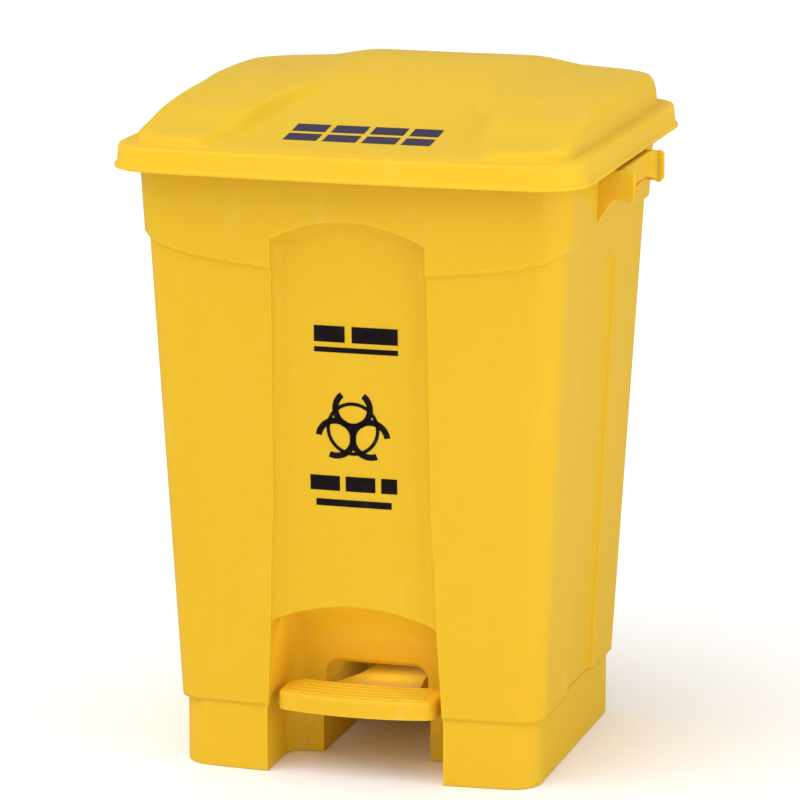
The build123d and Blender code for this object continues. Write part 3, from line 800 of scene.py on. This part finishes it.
def trefoil(points, faces, cx, cy, size):
    """Adds a plain three-ring mark of its own proportions: three open rings round a centre ring."""
    for k in range(3):
        a = math.radians(90 + 120 * k)
        ox, oy = cx + 0.48 * size * math.cos(a), cy + 0.48 * size * math.sin(a)
        ring_arc(points, faces, ox, oy, 0.42 * size, 0.15 * size, math.degrees(a) + 38, 284)
    ring_arc(points, faces, cx, cy, 0.60 * size, 0.085 * size, 0, 360, 90)


# ---- sizes and colours ----

class BinSizes(bpy.types.PropertyGroup):
    """Sizes a user would change."""
    wall: bpy.props.FloatProperty(
        name="Wall", description="Thickness of the moulded walls", default=0.003, min=0.001, max=0.006,
        unit="LENGTH")
    lid_wall: bpy.props.FloatProperty(
        name="Lid wall", description="Thickness of the lid", default=0.0025, min=0.001, max=0.005,
        unit="LENGTH")
    tread_ribs: bpy.props.IntProperty(
        name="Tread ribs", description="Ribs on the pedal", default=5, min=1, max=9)
    tread_pitch: bpy.props.FloatProperty(
        name="Tread pitch", description="Distance from rib to rib", default=0.009, min=0.004, max=0.02,
        unit="LENGTH")


class BinLooks(bpy.types.PropertyGroup):
    """Colours and gloss."""
    shell_colour: bpy.props.FloatVectorProperty(
        name="Shell colour", description="Colour of the shell and pedal", default=(0.755, 0.445, 0.018),
        subtype="COLOR", min=0, max=1)
    lid_colour: bpy.props.FloatVectorProperty(
        name="Lid colour", description="Colour of the lid", default=(0.80, 0.485, 0.022),
        subtype="COLOR", min=0, max=1)
    ink_colour: bpy.props.FloatVectorProperty(
        name="Ink colour", description="Colour of the prints on the front", default=(0.010, 0.005, 0.004),
        subtype="COLOR", min=0, max=1)
    lid_ink_colour: bpy.props.FloatVectorProperty(
        name="Lid ink colour", description="Colour of the print on the lid", default=(0.06, 0.042, 0.07),
        subtype="COLOR", min=0, max=1)
    gloss: bpy.props.FloatProperty(
        name="Roughness", description="Roughness of the plastic", default=0.42, min=0.1, max=0.9)


# ---- operators, one for each piece or group of like pieces ----

class BIN_OT_finishes(bpy.types.Operator):
    """Builds the finishes and gives the carried-over CAD nodes theirs"""
    bl_idname = "pedal_bin.finishes"
    bl_label = "Finishes"

    def execute(self, context):
        make_finishes(context.scene.bin_looks)
        by_slot = {"shell_plastic": "shell", "lid_plastic": "lid", "pedal_plastic": "pedal",
                   "guide_plastic": "guide", "rubber": "rubber", "zinc_wire": "wire",
                   "axle_steel": "steel", "screw_steel": "steel", "spring_steel": "spring"}
        for part in frame["record"]["subparts"]:
            obj = frame["nodes"][part["node"]]
            for slot in obj.material_slots:
                slot.link = "OBJECT"
                slot.material = FINISH[by_slot[part["material_slot"]]]
        return {"FINISHED"}


class BIN_OT_shell(bpy.types.Operator):
    """Builds the moulded shell with its collar, panels and foot niche"""
    bl_idname = "pedal_bin.shell"
    bl_label = "Shell"

    def execute(self, context):
        shell = new_piece("bin_shell", outward(shell_mesh()), "shell", FINISH["shell"])
        walled(shell, context.scene.bin_sizes.wall)
        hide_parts("bin_body")
        built("bin_floor", inner_works, "shell", FINISH["shell"], 0.6)
        built("hinge_ears", hinge_ears, "shell", FINISH["shell"], 0.5)
        return {"FINISHED"}


class BIN_OT_grips(bpy.types.Operator):
    """Builds the two side grips"""
    bl_idname = "pedal_bin.grips"
    bl_label = "Side grips"

    def execute(self, context):
        built("side_grips", grips, "shell", FINISH["shell"], 1.1, 3)
        return {"FINISHED"}


class BIN_OT_lid(bpy.types.Operator):
    """Builds the crowned lid with its rim, lip and hinge fittings"""
    bl_idname = "pedal_bin.lid"
    bl_label = "Lid"

    def execute(self, context):
        lid = new_piece("lid_crown", outward(lid_mesh()), "lid", FINISH["lid"])
        walled(lid, context.scene.bin_sizes.lid_wall)
        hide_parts("lid_shell")
        built("lid_fittings", lid_fittings, "lid", FINISH["lid"], 0.5)
        return {"FINISHED"}


class BIN_OT_tread(bpy.types.Operator):
    """Builds the pedal's tread ribs with Geometry Nodes"""
    bl_idname = "pedal_bin.tread"
    bl_label = "Tread ribs"

    def execute(self, context):
        sizes = context.scene.bin_sizes
        low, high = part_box("pedal")
        tree = self.tree()
        piece = bpy.data.objects.new("tread_ribs", bpy.data.meshes.new("tread_ribs"))
        context.scene.collection.objects.link(piece)
        ribs = piece.modifiers.new("ribs", "NODES")
        ribs.node_group = tree
        start = (0.0, low[1] + 0.0115, high[2] - 0.0003)
        values = {"Ribs": sizes.tread_ribs, "Pitch": sizes.tread_pitch, "Start": start,
                  "Rib radius": 1.5 * MM, "Half width": 0.058, "Bow": -0.011, "Finish": FINISH["pedal"]}
        for item in tree.interface.items_tree:
            if item.item_type == "SOCKET" and item.in_out == "INPUT":
                ribs[item.identifier] = values[item.name]
        applied(piece)
        piece.data.shade_smooth()
        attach(piece, "pedal")
        return {"FINISHED"}

    def tree(self):
        """Geometry Nodes: one bowed round rib, set on a line of points."""
        tree = bpy.data.node_groups.new("tread_ribs", "GeometryNodeTree")
        for name, kind in (("Ribs", "Int"), ("Pitch", "Float"), ("Start", "Vector"), ("Rib radius", "Float"),
                           ("Half width", "Float"), ("Bow", "Float"), ("Finish", "Material")):
            tree.interface.new_socket(name=name, in_out="INPUT", socket_type="NodeSocket" + kind)
        tree.interface.new_socket(name="Geometry", in_out="OUTPUT", socket_type="NodeSocketGeometry")
        nodes, links = tree.nodes, tree.links
        given, out = nodes.new("NodeGroupInput"), nodes.new("NodeGroupOutput")
        line = nodes.new("GeometryNodeMeshLine")
        step = nodes.new("ShaderNodeCombineXYZ")
        links.new(given.outputs["Pitch"], step.inputs["Y"])
        links.new(given.outputs["Ribs"], line.inputs["Count"])
        links.new(given.outputs["Start"], line.inputs["Start Location"])
        links.new(step.outputs["Vector"], line.inputs["Offset"])
        path = nodes.new("GeometryNodeCurveQuadraticBezier")
        path.inputs["Resolution"].default_value = 24
        left = nodes.new("ShaderNodeMath")
        left.operation = "MULTIPLY"
        left.inputs[1].default_value = -1.0
        links.new(given.outputs["Half width"], left.inputs[0])
        for point, axis, value in (("Start", "X", left.outputs[0]), ("Middle", "Y", given.outputs["Bow"]),
                                   ("End", "X", given.outputs["Half width"])):
            spot = nodes.new("ShaderNodeCombineXYZ")
            links.new(value, spot.inputs[axis])
            links.new(spot.outputs["Vector"], path.inputs[point])
        profile = nodes.new("GeometryNodeCurvePrimitiveCircle")
        profile.inputs["Resolution"].default_value = 14
        links.new(given.outputs["Rib radius"], profile.inputs["Radius"])
        tube = nodes.new("GeometryNodeCurveToMesh")
        tube.inputs["Fill Caps"].default_value = True
        links.new(path.outputs["Curve"], tube.inputs["Curve"])
        links.new(profile.outputs["Curve"], tube.inputs["Profile Curve"])
        place = nodes.new("GeometryNodeInstanceOnPoints")
        links.new(line.outputs["Mesh"], place.inputs["Points"])
        links.new(tube.outputs["Mesh"], place.inputs["Instance"])
        real = nodes.new("GeometryNodeRealizeInstances")
        links.new(place.outputs["Instances"], real.inputs["Geometry"])
        finish = nodes.new("GeometryNodeSetMaterial")
        links.new(real.outputs["Geometry"], finish.inputs["Geometry"])
        links.new(given.outputs["Finish"], finish.inputs["Material"])
        links.new(finish.outputs["Geometry"], out.inputs["Geometry"])
        return tree


class BIN_OT_prints(bpy.types.Operator):
    """Builds the plain printed marks on the front panel and the lid"""
    bl_idname = "pedal_bin.prints"
    bl_label = "Prints"

    def execute(self, context):
        flat, faces = [], []
        trefoil(flat, faces, 0, 305, 36)
        for bars in FRONT_BARS:
            bar(flat, faces, *bars)
        mesh = mesh_from("front_prints", [panel_surface(x, z) for x, z in flat], faces)
        self.sheet(mesh, "shell", "shell_plastic", FINISH["ink"], (0, -1, 0))
        flat, faces = [], []
        for x0, x1 in LID_BLOCKS:
            for y in (-134, -108):
                bar(flat, faces, x0, x1, y, 20)
        mesh = mesh_from("lid_print", [lid_surface(x, y) for x, y in flat], faces)
        self.sheet(mesh, "lid", "lid_plastic", FINISH["lid_ink"], (0, 0, 1))
        return {"FINISHED"}

    def sheet(self, mesh, body, slot, finish, way):
        """Turns a print's faces to the outside and gives it its film thickness."""
        flip = [p.index for p in mesh.polygons if p.normal.dot(Vector(way)) < 0]
        bm = bmesh.new()
        bm.from_mesh(mesh)
        bm.faces.ensure_lookup_table()
        bmesh.ops.reverse_faces(bm, faces=[bm.faces[i] for i in flip])
        bm.to_mesh(mesh)
        bm.free()
        walled(new_piece(mesh.name, mesh, body, finish, smooth=False), 0.0001)


class BIN_OT_stage(bpy.types.Operator):
    """Builds the floor, the lights and the camera"""
    bl_idname = "pedal_bin.stage"
    bl_label = "Stage"

    def execute(self, context):
        self.lay_floor(context.scene)
        self.hang_sky(context.scene)
        self.set_lights(context.scene)
        self.set_camera(context.scene)
        return {"FINISHED"}

    def lay_floor(self, scene):
        """A wide pale floor, which gloss sees darker than the eye does."""
        mesh = bpy.data.meshes.new("floor")
        bm = bmesh.new()
        bmesh.ops.create_grid(bm, x_segments=2, y_segments=2, size=12)
        bm.to_mesh(mesh)
        bm.free()
        floor = bpy.data.objects.new("floor", mesh)
        floor.location.z = -0.0005
        scene.collection.objects.link(floor)
        paper, tree, shader = bare_material("pale_floor")
        self.by_ray(tree, "Is Glossy Ray", 0.97, 0.30, shader.inputs["Base Color"])
        shader.inputs["Roughness"].default_value = 0.9
        mesh.materials.append(paper)

    def hang_sky(self, scene):
        """A white backdrop that lights the bin less strongly than it shows."""
        world = bpy.data.worlds.new("studio")
        world.use_nodes = True
        sky = world.node_tree
        background = sky.nodes["Background"]
        background.inputs["Color"].default_value = (1.0, 1.0, 1.0, 1)
        backdrop = sky.nodes.new("ShaderNodeMath")
        backdrop.operation = "ADD"
        self.by_ray(sky, "Is Camera Ray", 0.0, 0.25, backdrop.inputs[0])
        self.by_ray(sky, "Is Glossy Ray", 0.75, 0.30, backdrop.inputs[1])
        sky.links.new(backdrop.outputs[0], background.inputs["Strength"])
        scene.world = world
        scene.view_settings.view_transform = "Standard"

    def set_lights(self, scene):
        """One broad light overhead, two softboxes, and two small lights in the pedal's recesses."""
        data = bpy.data.lights.new("roof", "SUN")
        data.energy = 1.55
        data.angle = math.radians(70)
        roof = bpy.data.objects.new("roof", data)
        roof.rotation_euler = Vector((0.32, 0.40, -0.85)).to_track_quat("-Z", "Y").to_euler()
        scene.collection.objects.link(roof)
        self.softbox("fill", (0.4, -3.0, 0.5), (0, 0, 0.2), 1.6, 7)
        low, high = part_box("pedal")
        self.nook("niche", (0, low[1] + 0.030, high[2] + 0.062), (0, low[1] + 0.075, high[2]), 0.13, 0.022)
        self.nook("way_in", (0, low[1] + 0.118, high[2] + 0.020), (0, low[1] + 0.118, 0), 0.06, 0.02)
        self.softbox("side", (3.0, -1.0, 0.8), (0, 0, 0.3), 1.6, 24)

    def set_camera(self, scene):
        """A long lens, in front of the bin, a little to its right and above it."""
        yaw, tilt, distance = math.radians(16.129), math.radians(12.425), 4.179
        back = Vector((math.sin(yaw) * math.cos(tilt), -math.cos(yaw) * math.cos(tilt), math.sin(tilt)))
        right = Vector((math.cos(yaw), math.sin(yaw), 0))
        up = back.cross(right)
        place = Vector((0, 0, 0.3)) + back * distance - right * 0.0017986 - up * 0.0013682
        data = bpy.data.cameras.new("camera")
        data.lens = 217.17
        data.sensor_width = 36
        data.clip_end = 60
        camera = bpy.data.objects.new("camera", data)
        camera.matrix_world = Matrix.Translation(place) @ Matrix((right, up, back)).transposed().to_4x4()
        scene.collection.objects.link(camera)
        scene.camera = camera

    def by_ray(self, tree, kind, other, chosen, socket):
        """Gives a socket one value for the chosen kind of ray and another for the rest."""
        path = tree.nodes.new("ShaderNodeLightPath")
        level = tree.nodes.new("ShaderNodeMapRange")
        level.inputs["To Min"].default_value = other
        level.inputs["To Max"].default_value = chosen
        tree.links.new(path.outputs[kind], level.inputs["Value"])
        tree.links.new(level.outputs["Result"], socket)

    def softbox(self, name, place, aim, size, power):
        """A soft square light, which is given back."""
        data = bpy.data.lights.new(name, "AREA")
        data.size = size
        data.energy = power
        lamp = bpy.data.objects.new(name, data)
        lamp.location = place
        lamp.rotation_euler = (Vector(aim) - Vector(place)).to_track_quat("-Z", "Y").to_euler()
        bpy.context.scene.collection.objects.link(lamp)
        return lamp

    def nook(self, name, place, aim, width, power):
        """A small flat light inside a recess, out of the camera's sight."""
        lamp = self.softbox(name, place, aim, width, power)
        lamp.data.shape = "RECTANGLE"
        lamp.data.size_y = 0.03
        lamp.visible_camera = False


class BIN_PT_panel(bpy.types.Panel):
    """Lists the bin's pieces"""
    bl_idname = "BIN_PT_panel"
    bl_label = "Pedal bin"
    bl_space_type = "VIEW_3D"
    bl_region_type = "UI"
    bl_category = "Pedal bin"

    def draw(self, context):
        column = self.layout.column()
        for group in (context.scene.bin_sizes, context.scene.bin_looks):
            for name in group.__annotations__:
                column.prop(group, name)
        for operator in OPERATORS:
            column.operator(operator.bl_idname)


OPERATORS = (BIN_OT_finishes, BIN_OT_shell, BIN_OT_grips, BIN_OT_lid, BIN_OT_tread, BIN_OT_prints,
             BIN_OT_stage)
CLASSES = (BinSizes, BinLooks) + OPERATORS + (BIN_PT_panel,)


def register():
    for cls in CLASSES:
        bpy.utils.register_class(cls)
    bpy.types.Scene.bin_sizes = bpy.props.PointerProperty(type=BinSizes)
    bpy.types.Scene.bin_looks = bpy.props.PointerProperty(type=BinLooks)


def unregister():
    del bpy.types.Scene.bin_looks
    del bpy.types.Scene.bin_sizes
    for cls in reversed(CLASSES):
        bpy.utils.unregister_class(cls)


def main():
    register()
    bpy.ops.pedal_bin.finishes()
    bpy.ops.pedal_bin.shell()
    bpy.ops.pedal_bin.grips()
    bpy.ops.pedal_bin.lid()
    bpy.ops.pedal_bin.tread()
    bpy.ops.pedal_bin.prints()
    bpy.ops.pedal_bin.stage()


if __name__ == "__main__":
    main()
